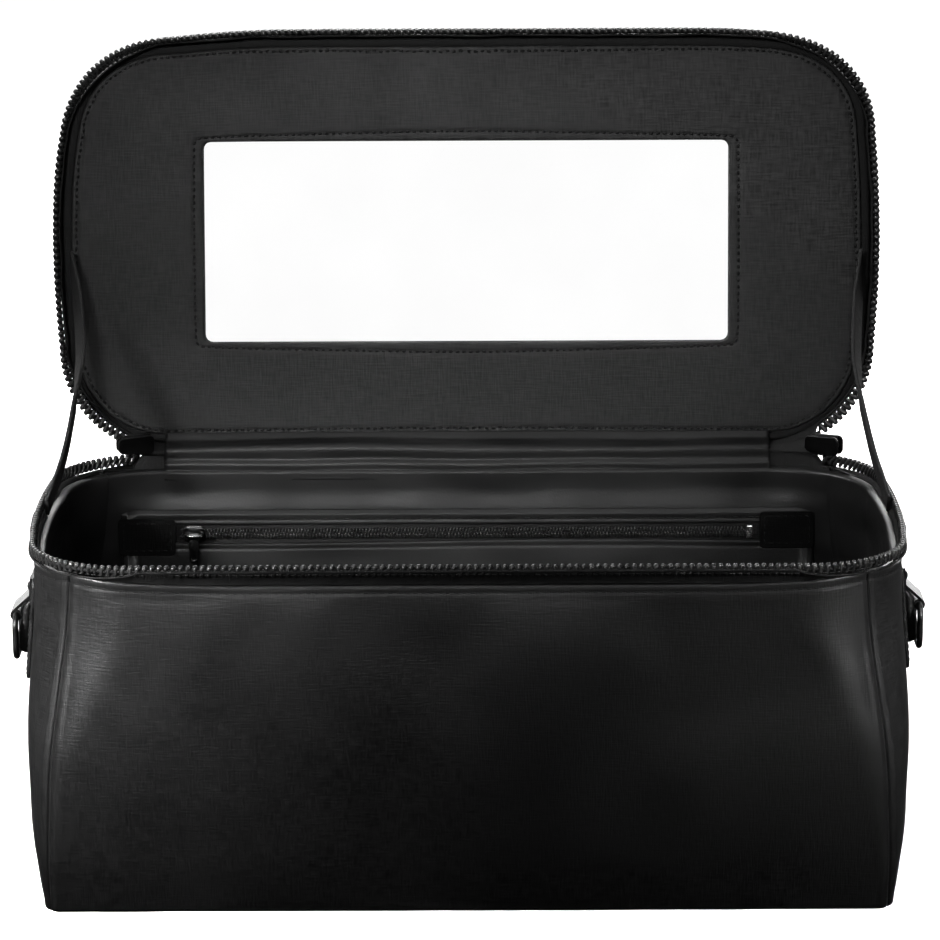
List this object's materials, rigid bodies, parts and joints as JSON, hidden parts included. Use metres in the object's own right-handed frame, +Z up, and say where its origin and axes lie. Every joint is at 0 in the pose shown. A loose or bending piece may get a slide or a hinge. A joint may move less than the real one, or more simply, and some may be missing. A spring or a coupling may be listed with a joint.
{
  "type": "travel case with lid mirror",
  "caption": "Soft-sided zip-top travel case, its hinged lid held open by stay straps, with a mirror in the lid, a zip pocket inside and strap rings on the ends.",
  "frame": {"origin": "middle of the underside, on the surface that the case stands on", "axes": "+Z up, +X to the right across the front, +Y to the back, where the lid is hinged"},
  "size_m": [0.3521, 0.2129, 0.3039],
  "materials": {
    "outer_fabric": "black coated fabric with a fine linen weave",
    "lid_fabric": "matte dark charcoal linen weave",
    "lining": "smooth black coated lining, soft gloss",
    "board": "plain dark stiffener board",
    "foam": "soft dark foam",
    "zip_tape": "black woven zip tape",
    "zip_coil": "black nylon coil",
    "webbing": "black ribbon webbing",
    "slider_metal": "black enamelled zip slider",
    "bright_metal": "polished bright metal",
    "tab_leather": "black grained leather tab",
    "mirror": "silvered flat glass"
  },
  "bodies": {
    "case": {"front_panel": "outer_fabric", "front_board": "board", "front_lining": "lining", "back_panel": "outer_fabric", "back_board": "board", "back_lining": "lining", "left_panel": "outer_fabric", "left_board": "board", "left_lining": "lining", "right_panel": "outer_fabric", "right_board": "board", "right_lining": "lining", "base_panel": "outer_fabric", "base_board": "board", "floor_lining": "lining", "body_zip_tape": "zip_tape", "body_zip_coil": "zip_coil", "hinge_strip": "lining", "stay_strap_left": "webbing", "stay_strap_right": "webbing", "main_slider_left": "slider_metal", "main_slider_right": "slider_metal", "pocket_panel": "lining", "pocket_welt": "lining", "pocket_zip_tape": "zip_tape", "pocket_zip_coil": "zip_coil", "pocket_zip_stop": "slider_metal", "pocket_end_left": "zip_tape", "pocket_end_right": "zip_tape", "ring_tab_left": "tab_leather", "ring_tab_right": "tab_leather", "ring_bracket_left": "bright_metal", "ring_bracket_right": "bright_metal", "tab_rivets_left": "bright_metal", "tab_rivets_right": "bright_metal"},
    "lid": {"lid_zip_tape": "zip_tape", "lid_zip_coil": "zip_coil", "lid_side_band": "outer_fabric", "lid_outer_panel": "outer_fabric", "lid_board": "board", "lid_foam": "foam", "lid_inner_panel": "lid_fabric", "mirror_glass": "mirror", "mirror_backing": "board"},
    "left_pull": {"main_pull_left": "slider_metal"},
    "right_pull": {"main_pull_right": "slider_metal"},
    "pocket_zip_slider": {"pocket_slider": "slider_metal"},
    "pocket_zip_pull": {"pocket_pull": "slider_metal"},
    "left_ring": {"side_ring_left": "bright_metal"},
    "right_ring": {"side_ring_right": "bright_metal"}
  },
  "joints": [
    {"name": "lid_hinge", "type": "hinge", "parent": "case", "child": "lid", "pos_m": [0, 0.0845, 0.1355], "axis": [1, 0, 0], "range_deg": [0, 98], "deforming": ["stay_strap_left", "stay_strap_right", "hinge_strip"]},
    {"name": "left_pull_hinge", "type": "hinge", "parent": "case", "child": "left_pull", "pos_m": [-0.13509, 0.08729, 0.137], "axis": [0.9581, 0.2864, 0], "range_deg": [0, 40]},
    {"name": "right_pull_hinge", "type": "hinge", "parent": "case", "child": "right_pull", "pos_m": [0.14592, 0.08244, 0.137], "axis": [0.8521, -0.5235, 0], "range_deg": [0, 40]},
    {"name": "left_ring_hinge", "type": "hinge", "parent": "case", "child": "left_ring", "pos_m": [-0.17391, 0, 0.09381], "axis": [0, 1, 0], "range_deg": [-5, 150]},
    {"name": "right_ring_hinge", "type": "hinge", "parent": "case", "child": "right_ring", "pos_m": [0.17367, 0, 0.09661], "axis": [0, -1, 0], "range_deg": [-5, 150]},
    {"name": "pocket_zip_slide", "type": "slide", "parent": "case", "child": "pocket_zip_slider", "axis": [1, 0, 0], "range_m": [0, 0.217]},
    {"name": "pocket_pull_hinge", "type": "hinge", "parent": "pocket_zip_slider", "child": "pocket_zip_pull", "pos_m": [-0.11, 0.0701, 0.1035], "axis": [-1, 0, 0], "range_deg": [0, 150]}
  ]
}
